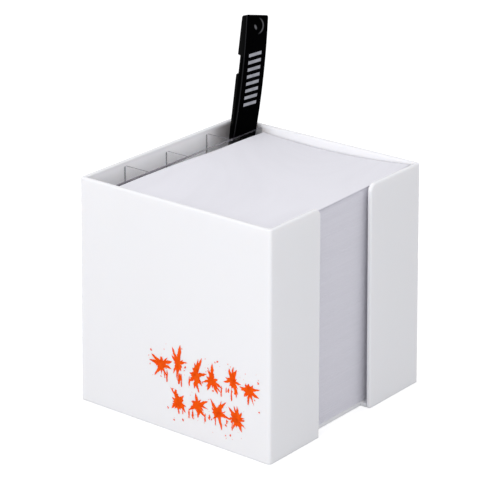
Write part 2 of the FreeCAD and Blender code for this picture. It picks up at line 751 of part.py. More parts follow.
def make_pen_cam():
    """A short rotor with a crown of teeth: a V notch cut across its top and repeated round it."""
    body = new_body("pen_cam")
    core = sketch_on(body, "XY_Plane", "core", "size.tube_top")
    circle_at_axis(core, "size.cam_radius")
    pad(body, core, "rotor", "size.cam_length")
    notch = sketch_on(body, "XZ_Plane", "notch_profile")
    outline(
        notch,
        [
            ("0", "size.cam_top - size.cam_tooth"),
            ("size.cam_gap", "size.cam_top"),
            ("-size.cam_gap", "size.cam_top"),
        ],
    )
    first = pocket(body, notch, "notch", "size.cam_radius * 2")
    crown = body.newObject("PartDesign::PolarPattern", "crown")
    crown.Originals = [first]
    crown.Axis = (core, ["N_Axis"])
    crown.Angle = 360
    crown.setExpression("Occurrences", "size.cam_teeth")
    body.Tip = crown
    doc.recompute()
    return body


def make_pen_refill_tube():
    body = new_body("pen_refill_tube")
    ring = sketch_on(body, "XY_Plane", "ring", "size.tube_foot")
    circle_at_axis(ring, "size.tube_radius")
    circle_at_axis(ring, "size.shank_radius")
    pad(body, ring, "tube", "size.tube_top - size.tube_foot")
    return body


def make_pen_refill_point():
    """Cone, neck and shank of the writing point, turned in one piece."""
    body = new_body("pen_refill_point")
    half = sketch_on(body, "XZ_Plane", "half_profile")
    outline(
        half,
        [
            ("0", "0"),
            ("size.point_ball", "size.point_ball / 2"),
            ("size.point_radius", "size.point_cone"),
            ("size.point_radius", "size.spring_seat"),
            ("size.shank_radius", "size.spring_seat"),
            ("size.shank_radius", "size.tube_foot + size.shank_plug"),
            ("0", "size.tube_foot + size.shank_plug"),
        ],
    )
    turned(body, half, "point")
    return body


def make_pen_spring():
    """A coil of wire round the point's shank, from its seat in the nose up to the ink tube."""
    tall = "(size.spring_length - 4 * size.spring_wire)"
    round_shank = "size.shank_radius + size.spring_space / 2"
    start = "size.spring_seat + 2 * size.spring_wire"
    line = part_object("Part::Helix", "spring_line", Height=tall, Radius=round_shank)
    line.setExpression("Pitch", f"{tall} / size.spring_turns")
    line.setExpression("Placement.Base.z", start)
    section = part_object("Part::RegularPolygon", "spring_section", Circumradius="size.spring_wire")
    section.Polygon = 4
    section.Placement = Placement(Vector(0, 0, 0), Rotation(Vector(1, 0, 0), 90))
    section.setExpression("Placement.Base.x", round_shank)
    section.setExpression("Placement.Base.z", start)
    doc.recompute()
    coil = doc.addObject("Part::Sweep", "pen_spring")
    coil.Sections = [section]
    coil.Spine = (line, [f"Edge{number}" for number in range(1, len(line.Shape.Edges) + 1)])
    coil.Solid = True
    coil.Frenet = True
    doc.recompute()
    return coil


def pen_stance():
    """Where the pen stands: point near the rear rib, clip against the comb's wall, back at the rear wall.

    It leans from its point to the spot at the rim where both touch, less the room that is left for it.
    """
    turn = math.radians(mm("size.pen_turn"))
    across, ahead = math.cos(turn), math.sin(turn)
    edge, face = mm("size.clip_edge"), mm(face_at("size.comb_top"))
    clip_reach = (mm("size.pen_width / 2") - edge) * across + (face - edge) * ahead + edge
    back_round = mm("size.back_radius")
    side, behind = mm("size.pen_width / 2") - back_round, mm("size.pen_thick / 2") - back_round
    back_reach = side * ahead + behind * across + back_round
    foot = Vector(
        mm("-size.comb_inner - size.tip_from_wall"),
        mm("size.rib_rear + size.rib_thick / 2 + size.tip_from_rib"),
        mm("size.floor_thick + size.pen_lift"),
    )
    comb_x = mm("-size.comb_inner - size.pen_room") - clip_reach
    rear_y = mm(f"{half_inside('y', 'size.shell_height')} - size.pen_room") - back_reach
    lean_x = (comb_x - foot.x) / (mm("size.comb_top") - foot.z)
    lean_y = (rear_y - foot.y) / (mm("size.shell_height") - foot.z)
    lean = Rotation(Vector(0, 0, 1), Vector(lean_x, lean_y, 1))
    return Placement(foot, lean * Rotation(Vector(0, 0, 1), mm("size.pen_turn")))


# ---------------------------------------------------------------- build, check, write

paper_face = make_paper_face()
parts = {
    "holder_shell": make_holder_shell(),
    "holder_base": make_holder_base(),
    "pen_comb": make_pen_comb(),
    "paper_block": paper_box("paper_block", "size.floor_thick", "size.stack_top"),
    "loose_sheets": make_loose_sheets(paper_face),
    "top_sheet": make_top_sheet(paper_face),
}
pen = {
    "pen_barrel": make_pen_barrel(),
    "pen_nose": make_pen_nose(),
    "pen_cap_clip": make_pen_cap_clip(),
    "pen_thrust_tube": make_pen_thrust_tube(),
    "pen_cam": make_pen_cam(),
    "pen_refill_tube": make_pen_refill_tube(),
    "pen_refill_point": make_pen_refill_point(),
    "pen_spring": make_pen_spring(),
}
stance = pen_stance()
for piece in pen.values():
    piece.Placement = stance
parts.update(pen)
doc.recompute()

for thing in doc.Objects:
    if {"Invalid", "Error"} & set(thing.State):
        raise ValueError(f"{thing.Name} failed: {thing.State}")
os.makedirs("parts", exist_ok=True)
for label, thing in parts.items():
    thing.Label = label
    shape = thing.Shape
    if shape.isNull() or not shape.isValid() or shape.Volume <= 0:
        raise ValueError(f"{label} has no sound shape")
    box = shape.BoundBox
    sides = (box.XMin, box.XMax, box.YMin, box.YMax, box.ZMin, box.ZMax)
    reach = " ".join(f"{side:8.2f}" for side in sides)
    print(f"{label:18s} solids {len(shape.Solids)}  {shape.Volume:10.1f} mm3  x, y, z: {reach}")
for label, thing in parts.items():
    thing.Shape.exportStep(f"parts/{label}.step")
axis = ", ".join(f"{share:.5f}" for share in stance.Rotation.multVec(Vector(0, 0, 1)))
foot = ", ".join(f"{place:.3f}" for place in stance.Base)
print(f"pen axis ({axis}) from ({foot})")
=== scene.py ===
# %% [markdown]
# # A memo box with a clear pen comb and a flat black pen
#
# The box is a white moulded cube, open at the top, with a finger slot cut down one side. Inside it stand a
# clear insert that makes four pen cells, a stack of loose note paper and one pen. The rigid model already
# has every piece at its true size, so this lesson dresses it: smooth skins, finishes with some detail, a
# print on the front and soft light.

# %% Load the frame
import math
import bmesh
import bpy
import numpy as np
from mathutils import Matrix, Vector


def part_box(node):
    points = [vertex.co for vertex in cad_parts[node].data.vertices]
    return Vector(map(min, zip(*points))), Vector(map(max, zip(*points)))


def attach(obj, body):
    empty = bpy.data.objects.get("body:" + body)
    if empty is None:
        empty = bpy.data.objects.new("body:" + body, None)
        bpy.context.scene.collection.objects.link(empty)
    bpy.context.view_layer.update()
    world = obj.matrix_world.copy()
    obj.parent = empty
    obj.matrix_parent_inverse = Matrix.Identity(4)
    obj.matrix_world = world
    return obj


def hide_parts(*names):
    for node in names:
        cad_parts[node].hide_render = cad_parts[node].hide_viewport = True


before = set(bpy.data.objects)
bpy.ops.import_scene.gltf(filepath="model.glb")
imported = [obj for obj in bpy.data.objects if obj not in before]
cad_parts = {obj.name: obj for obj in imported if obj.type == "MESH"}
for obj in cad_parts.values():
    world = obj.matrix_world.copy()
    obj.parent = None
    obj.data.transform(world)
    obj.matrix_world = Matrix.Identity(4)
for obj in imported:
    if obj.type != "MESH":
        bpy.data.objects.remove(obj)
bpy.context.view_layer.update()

MM = 0.001

# %% [markdown]
# ## The camera
#
# A product shot of a small box is taken from far away with a long lens, so its upright edges stay almost
# parallel. A camera could be aimed with a Track To constraint, but four plain numbers say the same: the
# angle round the box, the height of the view, a tiny tilt, and the distance. The lens follows from the size
# that the box has in the frame.

# %% Camera
VIEW_AZIMUTH = math.radians(38.27)
VIEW_HEIGHT = math.radians(21.345)
VIEW_TILT = math.radians(0.145)
VIEW_DISTANCE = 1.05755
VIEW_CENTRE = Vector((-0.023679, 0.029386, 0.050))
FRAME_PIXELS = 500
FOCAL_PIXELS = 2405.06
SENSOR_WIDTH = 36.0
HALF_PIXEL = 0.5 * VIEW_DISTANCE / FOCAL_PIXELS
CLIP_NEAR, CLIP_FAR = 0.01, 20.0


def aim_camera():
    """The camera sits on a sphere round the centre of view; its axes are worked out from the two angles and
    the tilt. It stands half a pixel up and to the left, because a pixel is counted from its middle."""
    back = Vector((math.sin(VIEW_AZIMUTH) * math.cos(VIEW_HEIGHT),
                   -math.cos(VIEW_AZIMUTH) * math.cos(VIEW_HEIGHT),
                   math.sin(VIEW_HEIGHT)))
    level_right = Vector((0, 0, 1)).cross(back).normalized()
    level_up = back.cross(level_right)
    right = math.cos(VIEW_TILT) * level_right + math.sin(VIEW_TILT) * level_up
    up = back.cross(right)
    lens = bpy.data.cameras.new("product_camera")
    lens.sensor_width = SENSOR_WIDTH
    lens.lens = FOCAL_PIXELS / FRAME_PIXELS * SENSOR_WIDTH
    lens.clip_start = CLIP_NEAR
    lens.clip_end = CLIP_FAR
    camera = bpy.data.objects.new("product_camera", lens)
    bpy.context.scene.collection.objects.link(camera)
    turn = Matrix((right, up, back)).transposed().to_4x4()
    centre = VIEW_CENTRE + HALF_PIXEL * (up - right)
    camera.matrix_world = Matrix.Translation(centre + VIEW_DISTANCE * back) @ turn
    bpy.context.scene.camera = camera
    return camera


camera = aim_camera()
print("camera stands at", [round(v, 3) for v in camera.matrix_world.translation], "with a lens of",
      round(camera.data.lens, 1), "mm")

# %% [markdown]
# ## Shader maths that reads like maths
#
# A finish is easier to learn from `colour_a + mask * 0.2` than from thirty linked boxes. The class below
# wraps one output socket of a node. Adding, multiplying or subtracting two of them puts a Math node in the
# tree and hands back its output.

# %% A signal: one number that varies over a surface
class Signal:
    """One number that varies over a surface. Python's operators on it add Math nodes."""

    def __init__(self, finish, socket):
        self.finish = finish
        self.socket = socket

    def maths(self, operation, *values):
        """Adds a Math node with these inputs, each a number or a signal."""
        node = self.finish.node("ShaderNodeMath", {"operation": operation}, dict(enumerate(values)))
        return Signal(self.finish, node.outputs[0])

    def __add__(self, other):
        return self.maths("ADD", self, other)

    def __radd__(self, other):
        return self.maths("ADD", other, self)

    def __sub__(self, other):
        return self.maths("SUBTRACT", self, other)

    def __rsub__(self, other):
        return self.maths("SUBTRACT", other, self)

    def __mul__(self, other):
        return self.maths("MULTIPLY", self, other)

    def __rmul__(self, other):
        return self.maths("MULTIPLY", other, self)

    def __truediv__(self, other):
        return self.maths("DIVIDE", self, other)

    def __abs__(self):
        return self.maths("ABSOLUTE", self)

    def larger(self, other):
        return self.maths("MAXIMUM", self, other)

    def root(self):
        return self.maths("SQRT", self)

    def step(self, low, high, to_low=0.0, to_high=1.0):
        """Goes smoothly from to_low, where the value is low, to to_high, where it is high."""
        node = self.finish.node("ShaderNodeMapRange", {"interpolation_type": "SMOOTHSTEP", "clamp": True},
                                {"Value": self, "From Min": low, "From Max": high,
                                 "To Min": to_low, "To Max": to_high})
        return Signal(self.finish, node.outputs[0])

    def fade(self, low, high):
        """Goes smoothly from 1, where the value is low, to 0, where it is high."""
        return self.step(low, high, 1.0, 0.0)


print("a signal can be added, subtracted, multiplied, divided and stepped")

# %% [markdown]
# ### A material with a short way to say things
#
# Each finish is one material with one Principled shader. Values that never change are set on its sockets
# when it is made. What varies over the surface is fed to a socket, and any other node comes from
# `Finish.node`, which takes the type, its settings and its inputs.

# %% A finish: one material
class Finish:
    """A material with one Principled shader, its constant values set on the sockets when it is made."""

    def __init__(self, name, **constants):
        self.material = bpy.data.materials.new(name)
        self.material.use_nodes = True
        self.tree = self.material.node_tree
        self.shader = self.tree.nodes["Principled BSDF"]
        for socket, value in constants.items():
            self.shader.inputs[socket.replace("_", " ")].default_value = value
        self.place = self.node("ShaderNodeTexCoord").outputs["Object"]
        self.x, self.y, self.z = self.parts(self.place)

    def node(self, kind, settings=None, inputs=None):
        """Adds a node of a kind, sets its settings first, then links or sets its inputs."""
        node = self.tree.nodes.new(kind)
        for name, value in (settings or {}).items():
            setattr(node, name, value)
        for name, value in (inputs or {}).items():
            if isinstance(value, Signal):
                value = value.socket
            if isinstance(value, bpy.types.NodeSocket):
                self.tree.links.new(value, node.inputs[name])
            else:
                node.inputs[name].default_value = value
        return node

    def parts(self, vector):
        """The three coordinates of a vector socket, as signals."""
        node = self.node("ShaderNodeSeparateXYZ", {}, {"Vector": vector})
        return [Signal(self, node.outputs[i]) for i in range(3)]

    def feed(self, socket, value):
        """Links a signal or a socket to one of the shader's inputs."""
        source = value.socket if isinstance(value, Signal) else value
        self.tree.links.new(source, self.shader.inputs[socket])

    def moved(self, scale=(1, 1, 1), shift=(0, 0, 0), turn=(0, 0, 0)):
        """Object coordinates after a stretch, a turn and a shift, for a pattern with a grain or a mask that
        belongs to a leaning piece."""
        mapping = self.node("ShaderNodeMapping", {"vector_type": "POINT"},
                            {"Vector": self.place, "Location": shift, "Rotation": turn, "Scale": scale})
        return mapping.outputs[0]

    def noise(self, scale, detail=2.0, rough=0.5, at=None):
        """Soft random value from 0 to 1; scale is the number of blobs in a metre."""
        node = self.node("ShaderNodeTexNoise", {"noise_dimensions": "3D"},
                         {"Vector": at or self.place, "Scale": scale, "Detail": detail, "Roughness": rough})
        return Signal(self, node.outputs["Fac"])

    def mix(self, share, first, second):
        """A colour between two colours; share 0 is all the first."""
        node = self.node("ShaderNodeMix", {"data_type": "RGBA", "blend_type": "MIX", "clamp_factor": True},
                         {0: share, 6: first, 7: second})
        return node.outputs[2]

    def bump(self, height, distance):
        """Turns a height pattern times a distance in metres into a bent normal."""
        node = self.node("ShaderNodeBump", {}, {"Height": height, "Distance": distance, "Strength": 1.0})
        self.feed("Normal", node.outputs["Normal"])

    def on(self, *objects):
        """Puts the finish on these objects, in place of whatever they carry."""
        for item in objects:
            item.data.materials.clear()
            item.data.materials.append(self.material)
        return self


print("finish tools ready")

# %% [markdown]
# ## Skins: smooth copies of the rigid solids
#
# A solid comes from the modeller as loose triangles, so light shows every facet of a curve. Where a piece's
# form is already right, its skin is a copy whose double points are merged and whose normals run smoothly
# over every edge that is flatter than a set angle. Subdivision would round the true edges too, and a bevel
# would change the size.

# %% Build a mesh object from arrays
MERGE_DISTANCE = 1e-7


def make_mesh(name, points, faces, body, smooth_angle=35.0, weld=False):
    """Makes an object from an array of points and a list of faces, and lets it ride on a body."""
    mesh = bpy.data.meshes.new(name)
    mesh.from_pydata(np.asarray(points, float).tolist(), [], faces)
    mesh.validate()
    if weld:
        shape = bmesh.new()
        shape.from_mesh(mesh)
        bmesh.ops.remove_doubles(shape, verts=shape.verts, dist=MERGE_DISTANCE)
        shape.to_mesh(mesh)
        shape.free()
    mesh.polygons.foreach_set("use_smooth", np.ones(len(mesh.polygons), bool))
    mesh.set_sharp_from_angle(angle=math.radians(smooth_angle))
    thing = bpy.data.objects.new(name, mesh)
    bpy.context.scene.collection.objects.link(thing)
    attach(thing, body)
    return thing


# %% Copy a solid as a smooth skin
MICROMETRES = 1e6


def skin_of(node, body, smooth_angle=35.0):
    """Copies a node's triangles, merges points that fall on the same micrometre, drops the triangles that
    this makes flat, and hides the node behind the copy."""
    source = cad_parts[node].data
    points = np.empty(len(source.vertices) * 3)
    source.vertices.foreach_get("co", points)
    points = points.reshape(-1, 3)
    corners = np.empty(len(source.loops), int)
    source.loops.foreach_get("vertex_index", corners)
    _, first, places = np.unique(np.round(points * MICROMETRES).astype(int), axis=0,
                                 return_index=True, return_inverse=True)
    triangles = places.reshape(-1)[corners].reshape(-1, 3)
    distinct = ((triangles[:, 0] != triangles[:, 1]) & (triangles[:, 1] != triangles[:, 2])
                & (triangles[:, 2] != triangles[:, 0]))
    skin = make_mesh(node + "_skin", points[first], triangles[distinct].tolist(), body, smooth_angle)
    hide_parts(node)
    print(skin.name, "has", len(skin.data.polygons), "faces")
    return skin


# %% [markdown]
# ## White moulding
#
# The box is injection moulded in white styrene with a satin gloss. Outside its colour is even, but the skin
# of such a moulding is never quite flat: the steel it was pressed against leaves a very fine grain, and
# long soft waves come from the plastic shrinking as it cools. Both are height patterns fed to a bump, far
# too low to change the outline. The inner sides of the walls are told from the outer ones by comparing a
# point's place with the middle of each wall.

# %% Skins of the box
shell = skin_of("holder_shell", "holder")
base = skin_of("holder_base", "holder")
shell_low, shell_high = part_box("holder_shell")
print("box is", [round((shell_high[i] - shell_low[i]) / MM, 1) for i in range(3)], "mm")

# %% Places on the walls: a mask comes or goes between the two values of each
LEFT_WALL_MIDDLE = (-49.4 * MM, -48.6 * MM)
FRONT_WALL_MIDDLE = (-50.4 * MM, -49.6 * MM)
REAR_WALL_MIDDLE = (50.5 * MM, 51.3 * MM)
REAR_WALL_FACE = (48.0 * MM, 48.6 * MM)
RIM_START = (99.0 * MM, 100.6 * MM)
LEFT_SIDE_END = (-47.0 * MM, -46.0 * MM)
# Where the painted shade beside the pen lies, along the left wall, along the rear wall and upwards, and how
# dark it is.
PEN_SHADE_ALONG_LEFT = (28.0 * MM, 42.0 * MM)
PEN_SHADE_ALONG_REAR = (-36.0 * MM, -25.0 * MM)
PEN_SHADE_UPWARD = (87.0 * MM, 96.0 * MM)
PEN_SHADE_DEPTH, PEN_SHADE_DEPTH_BEHIND = 0.62, 0.6


# %% The white finish
def white_moulding():
    """White styrene: a hardly visible drift in tone, a fine grain and the long soft waves of shrinkage. A
    little light spreads inside the plastic and softens its edges. The inner side of the left wall is painted
    whiter than the rest, as painted light, so that the narrow cells stay bright. A painted shade lies on the
    inner walls of the rear cell, below the rim, beside the pen, in place of the pen's shadow. It fades along
    y on the left, along x behind."""
    finish = Finish("white_moulding", IOR=1.5, Specular_IOR_Level=0.2, Subsurface_Weight=0.5,
                    Subsurface_Radius=(1.0, 0.95, 0.9), Subsurface_Scale=2.0 * MM)
    x, y, z = finish.x, finish.y, finish.z
    drift = finish.noise(18, detail=2.0)
    even = finish.mix(drift, (0.816, 0.814, 0.826, 1.0), (0.829, 0.827, 0.840, 1.0))
    inside = (x.step(*LEFT_WALL_MIDDLE) * y.step(*FRONT_WALL_MIDDLE)
              * y.fade(*REAR_WALL_MIDDLE) * z.fade(*RIM_START))
    on_left = x.fade(*LEFT_SIDE_END)
    # Painted light: the inner side of the left wall is painted whiter, so that the narrow cells stay bright.
    tone_with_painted_light = finish.mix(on_left * inside, even, (0.93, 0.92, 0.935, 1.0))
    # Painted shade: a dark brown mixed into the rear cell's inner walls beside the pen, in place of the pen's
    # shadow.
    left = y.step(*PEN_SHADE_ALONG_LEFT) * on_left
    behind = x.fade(*PEN_SHADE_ALONG_REAR) * y.step(*REAR_WALL_FACE)
    painted_pen_shade = left.larger(PEN_SHADE_DEPTH_BEHIND * behind) * inside * z.step(*PEN_SHADE_UPWARD)
    finish.feed("Base Color", finish.mix(PEN_SHADE_DEPTH * painted_pen_shade, tone_with_painted_light, (0.15, 0.115, 0.10, 1.0)))
    finish.feed("Roughness", 0.20 + 0.07 * finish.noise(240, detail=3.0))
    grain = finish.noise(2600, detail=2.0)
    waves = finish.noise(30, detail=1.0)
    finish.bump(grain + 14.0 * waves, 0.004 * MM)
    return finish


white = white_moulding().on(shell, base)
print("white finish has", len(white.tree.nodes), "nodes")

# %% [markdown]
# ## The print on the front
#
# The front carries a screen print in one strong colour: two rows of paint splashes. They are blots with
# spikes flung out all round, runs of paint below them and spatter between. It could be a mask in the white
# finish, but a mask blurs when it is baked, and real ink lies on the plastic as a film with a crisp edge.
# So each mark is a ribbon along a bent line, and a border sunk into the wall closes the film all round.

# %% A film of ink from patches
INK_LIFT = 0.025 * MM
INK_LAYER = 0.02 * MM
INK_SUNK = 0.02 * MM


def ink_film(name, patches, normals, body, slot=None):
    """Closes K patches of n by m points into films. The outermost points are doubled; all inner points are
    lifted along the normal and the doubled border is sunk below the surface, so point = patch + normal *
    height. Each patch lies a hair higher than the one before, so that strokes which cross never share a
    surface. If the faces look inward at the middle of the patches, all of them are turned round."""
    count, along, across, _ = patches.shape
    border = ((0, 0), (1, 1), (1, 1), (0, 0))
    spread = np.pad(patches, border, mode="edge")
    out = np.pad(np.broadcast_to(normals, patches.shape), border, mode="edge")
    height = np.full((count, along + 2, across + 2), -INK_SUNK)
    height[:, 1:-1, 1:-1] = INK_LIFT + INK_LAYER * np.linspace(0, 1, count)[:, None, None]
    spread = spread + out * height[..., None]
    rows, columns = along + 2, across + 2
    corner = (np.arange(count)[:, None, None] * rows * columns
              + np.arange(rows - 1)[None, :, None] * columns + np.arange(columns - 1)[None, None, :]).ravel()
    faces = np.stack([corner, corner + 1, corner + columns + 1, corner + columns], axis=1)
    row, column = along // 2, across // 2
    middle = patches[:, row, column]
    onward = patches[:, row + 1, column] - middle
    aside = patches[:, row, column + 1] - middle
    turn = (np.cross(aside, onward) * np.broadcast_to(normals, patches.shape)[:, row, column]).sum()
    if turn < 0:
        faces = faces[:, ::-1]
    film = make_mesh(name, spread.reshape(-1, 3), faces.tolist(), body, smooth_angle=60)
    print(name, "has", count, "patches and", len(faces), "faces")
    return film


# %% [markdown]
# ### Brush marks
#
# A mark needs a start, a bend and an end on the wall, a width, and how blunt its two ends are. Marks are
# drawn in millimetres and turned into metres when they are laid on the wall, which leans back by 1.2 mm
# over its height of 101 mm. Random numbers come from one seeded generator, so they are the same each time.

# %% Ribbons on the wall
WALL_FOOT = shell_low.y
WALL_LEAN = 1.2 / 101.0
STEPS = 40
WAVE_NUMBERS, WAVE_SPEEDS = (1, 2, 3, 5, 8, 13), (5, 9)
WHOLE_TURN = 6.3


def on_front_wall(across, up):
    """The front wall leans back a little as it rises: y = foot + lean * z."""
    return np.stack([across, WALL_FOOT + WALL_LEAN * up, up], axis=-1)


def ribbons(starts, bends, ends, widths, blunt, rough, random):
    """Centre line (1-t)^2 start + 2t(1-t) bend + t^2 end. Half width = width * (t+.02)^blunt *
    (1-t)^(1.2-blunt), rough on each side by a sum of sines with random phases, so the two edges of a
    stroke never match."""
    t = np.linspace(0, 1, STEPS)[None, :, None]
    starts, bends, ends = (np.asarray(v, float)[:, None, :] for v in (starts, bends, ends))
    centre = (1 - t) ** 2 * starts + 2 * t * (1 - t) * bends + t ** 2 * ends
    onward = 2 * (1 - t) * (bends - starts) + 2 * t * (ends - bends)
    onward = onward / np.linalg.norm(onward, axis=2, keepdims=True)
    left = np.stack([-onward[..., 1], onward[..., 0]], axis=-1)
    count = len(starts)
    t = t[..., 0]
    blunt = np.asarray(blunt, float)[:, None]
    half = np.asarray(widths, float)[:, None] * (t + 0.02) ** blunt * (1 - t) ** (1.2 - blunt)
    edges = []
    for _ in range(2):
        waves = 0
        for k in WAVE_NUMBERS:
            phase = random.uniform(*WAVE_SPEEDS) * k * t + random.uniform(0, WHOLE_TURN, (count, 1))
            waves = waves + np.sin(phase) / k ** 0.7
        edges.append(half * (1 + rough * waves))
    share = np.array([1.0, 0.0, -1.0])[None, None, :]
    offset = np.where(share > 0, share * edges[0][..., None], share * edges[1][..., None])
    flat = centre[:, :, None, :] + left[:, :, None, :] * offset[..., None]
    return on_front_wall(flat[..., 0], flat[..., 1])


# %% [markdown]
# ### Splashes, runs and spatter
#
# A splash is a handful of spikes from one middle. Each function below gives five arrays for its marks:
# starts, bends, ends, widths and how blunt they are.

# %% A splash
SPIKES = 13
SPIKE_SHAKE = 0.25
SPIKE_START, SPIKE_BEND = 0.12, 0.7
SPIKE_WIDTHS, SPIKE_BLUNT = (1.0, 2.1), (0.2, 0.45)
REACH_LEAST, REACH_MORE, REACH_POWER = 0.4, 0.62, 0.6
BLOT_RIBBONS = 4
BLOT_SHARE = 0.3
BLOT_WIDTHS, BLOT_BLUNT = (1.7, 2.6), 0.55
HALF_TURN = 3.14


def splash(random, x, z, wide, tall):
    """A blot of short blunt ribbons in its middle and spikes at evenly spread, shaken angles: the end of a
    spike lies at middle + reach * (wide cos angle, tall sin angle), its start a little on the other side."""
    angle = np.arange(SPIKES) * 2 * math.pi / SPIKES + random.uniform(-SPIKE_SHAKE, SPIKE_SHAKE, SPIKES)
    reach = REACH_LEAST + REACH_MORE * random.power(REACH_POWER, SPIKES)
    tip = np.stack([wide * np.cos(angle), tall * np.sin(angle)], axis=1) * reach[:, None]
    middle = np.array([[x, z]])
    bend = middle + 0.5 * tip + random.uniform(-SPIKE_BEND, SPIKE_BEND, (SPIKES, 2))
    turn = random.uniform(0, HALF_TURN, BLOT_RIBBONS)
    half = np.stack([np.cos(turn) * wide, np.sin(turn) * tall], axis=1) * BLOT_SHARE
    blot_bend = middle + random.uniform(-1, 1, (BLOT_RIBBONS, 2))
    spike_width = random.uniform(*SPIKE_WIDTHS, SPIKES)
    blot_width = random.uniform(*BLOT_WIDTHS, BLOT_RIBBONS)
    spike_blunt = random.uniform(*SPIKE_BLUNT, SPIKES)
    return (np.concatenate([middle - SPIKE_START * tip, middle - half]),
            np.concatenate([bend, blot_bend]),
            np.concatenate([middle + tip, middle + half]),
            np.concatenate([spike_width, blot_width]),
            np.concatenate([spike_blunt, np.full(BLOT_RIBBONS, BLOT_BLUNT)]))


def row_of_splashes(random, middles, level, rise, shake, wides, talls):
    """Splashes along a line that rises a little, each shaken in height and of its own size."""
    return [splash(random, x, level + rise * x + random.uniform(-shake, shake), random.uniform(*wides),
                   random.uniform(*talls)) for x in middles]


# %% Runs and spatter
def runs_of_paint(random, left, right, level, rise, count):
    """Runs hang straight down from the strokes, blunt at the lower end, where a drop has dried."""
    x = random.uniform(left, right, count)
    z = level + rise * (x - left)
    length = random.uniform(2.0, 6.0, count)
    starts = np.stack([x, z], axis=1)
    ends = np.stack([x + random.uniform(-0.15, 0.15, count), z - length], axis=1)
    return starts, (starts + ends) / 2, ends, random.uniform(0.5, 1.0, count), np.full(count, 0.75)


def spatter(random, left, right, low, high, count):
    """Drops as very short blunt ribbons in any direction, most of them tiny."""
    middle = random.uniform((left, low), (right, high), (count, 2))
    size = 0.12 + 0.45 * random.power(0.3, count)
    angle = random.uniform(0, WHOLE_TURN, count)
    reach = np.stack([np.cos(angle), np.sin(angle)], axis=1) * size[:, None]
    ends = middle + reach * random.uniform(0.9, 1.6, (count, 1))
    return middle - reach, middle, ends, 1.5 * size, np.full(count, 0.5)


# %% The two rows
PRINT_SEED = 12
EDGE_ROUGHNESS = 0.2
UPPER_MIDDLES = (-6, 3, 12.5, 21, 31.5, 40)
LOWER_MIDDLES = (3, 13.5, 24, 34)


def front_print():
    """All marks of the two rows as patches on the wall, in metres."""
    random = np.random.default_rng(PRINT_SEED)
    groups = row_of_splashes(random, UPPER_MIDDLES, level=30.0, rise=0.03, shake=1.8,
                             wides=(4.4, 7.4), talls=(6.5, 11))
    groups += row_of_splashes(random, LOWER_MIDDLES, level=14.2, rise=0.05, shake=1,
                              wides=(4.6, 7.6), talls=(6, 9))
    groups += [runs_of_paint(random, left=-8, right=42, level=27, rise=0.03, count=16),
               runs_of_paint(random, left=0, right=37, level=12.5, rise=0.05, count=11),
               spatter(random, left=-14, right=46, low=19, high=40, count=70),
               spatter(random, left=-3, right=41, low=5, high=20, count=45)]
    starts, bends, ends, widths, blunt = (np.concatenate([group[i] for group in groups])
                                          for i in range(5))
    return ribbons(starts * MM, bends * MM, ends * MM, widths * MM, blunt, EDGE_ROUGHNESS, random)


ink = ink_film("front_print", front_print(), np.array([0.0, -1.0, 0.0]), "holder")

# %% Ink finish
def screen_ink(name, colour, brighter, roughness):
    """Printed ink: two close tones where it lies thick and thin, and a faint squeegee grain."""
    finish = Finish(name, Specular_IOR_Level=0.03)
    thick = finish.noise(420, detail=3.0).step(0.3, 0.7)
    finish.feed("Base Color", finish.mix(thick, colour, brighter))
    finish.feed("Roughness", roughness + 0.1 * finish.noise(900, detail=2.0))
    finish.bump(thick, 0.004 * MM)
    return finish


screen_ink("orange_ink", (0.84, 0.070, 0.002, 1.0), (0.92, 0.105, 0.004, 1.0), 0.45).on(ink)
print("ink finish made")

# %% [markdown]
# ## Clear comb
#
# The insert is crystal styrene, moulded in one piece: a wall and three ribs. Its faces let nearly all light
# through, so most of it is an almost open refracting shader. What shows are the narrow edges: light that has
# run along the inside of a sheet leaves there, so an edge looks like a thin dark grey line, dark before a
# white wall and pale before a black pen. A mask finds the edges by where they lie and paints them as a dark
# mirror: painted shade and reflection in place of how the edges refract light, and of the shade in the gap
# beside the paper.

# %% Places on the comb
comb = skin_of("pen_comb", "comb")
comb_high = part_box("pen_comb")[1]
RIB_MIDDLES = (-26.8 * MM, -1.5 * MM, 27.4 * MM)
RIB_ENDS = (-47.1 * MM, -45.6 * MM, -47.0 * MM)
RIB_HALF = (0.56 * MM, 0.6 * MM)
COMB_WALL_FACE = comb_high.x - 1.0 * MM
FACE_SOFTNESS = 0.05 * MM
RIM_LINE_DEPTH, RIM_LINE_SOFTNESS = 0.75 * MM, 0.1 * MM
RIM_LINE_FADE = (-34.0 * MM, 12.0 * MM)
DULL_FADE = (72.0 * MM, 86.0 * MM)


def comb_edges(finish):
    """Where the painted dark edges lie: a line along the wall's rim that grows thinner towards the back and
    stands in for the shade in the gap beside the paper, the top and the outer end of each rib on its rear
    half, and, faintly, the wall's rear edge."""
    at_top = finish.z.step(comb_high.z - 0.14 * MM, comb_high.z - 0.1 * MM)
    on_wall = finish.x.step(COMB_WALL_FACE - FACE_SOFTNESS, COMB_WALL_FACE + FACE_SOFTNESS)
    rim_depth = RIM_LINE_DEPTH * finish.y.step(*RIM_LINE_FADE, 1.0, 0.1)
    near_top = (finish.z - comb_high.z + rim_depth).step(-RIM_LINE_SOFTNESS, RIM_LINE_SOFTNESS)
    edge = near_top * on_wall
    for middle, end in zip(RIB_MIDDLES, RIB_ENDS):
        along_rib = abs(finish.y - middle).fade(*RIB_HALF)
        rear_half = (finish.y - middle).step(-0.1 * MM, FACE_SOFTNESS)
        at_end = finish.x.fade(end + 0.1 * MM, end + 0.3 * MM)
        edge = edge.larger(along_rib * rear_half * at_top.larger(at_end))
    rear_edge = finish.y.step(comb_high.y - 0.1 * MM, comb_high.y - FACE_SOFTNESS)
    return edge.larger(0.4 * rear_edge)


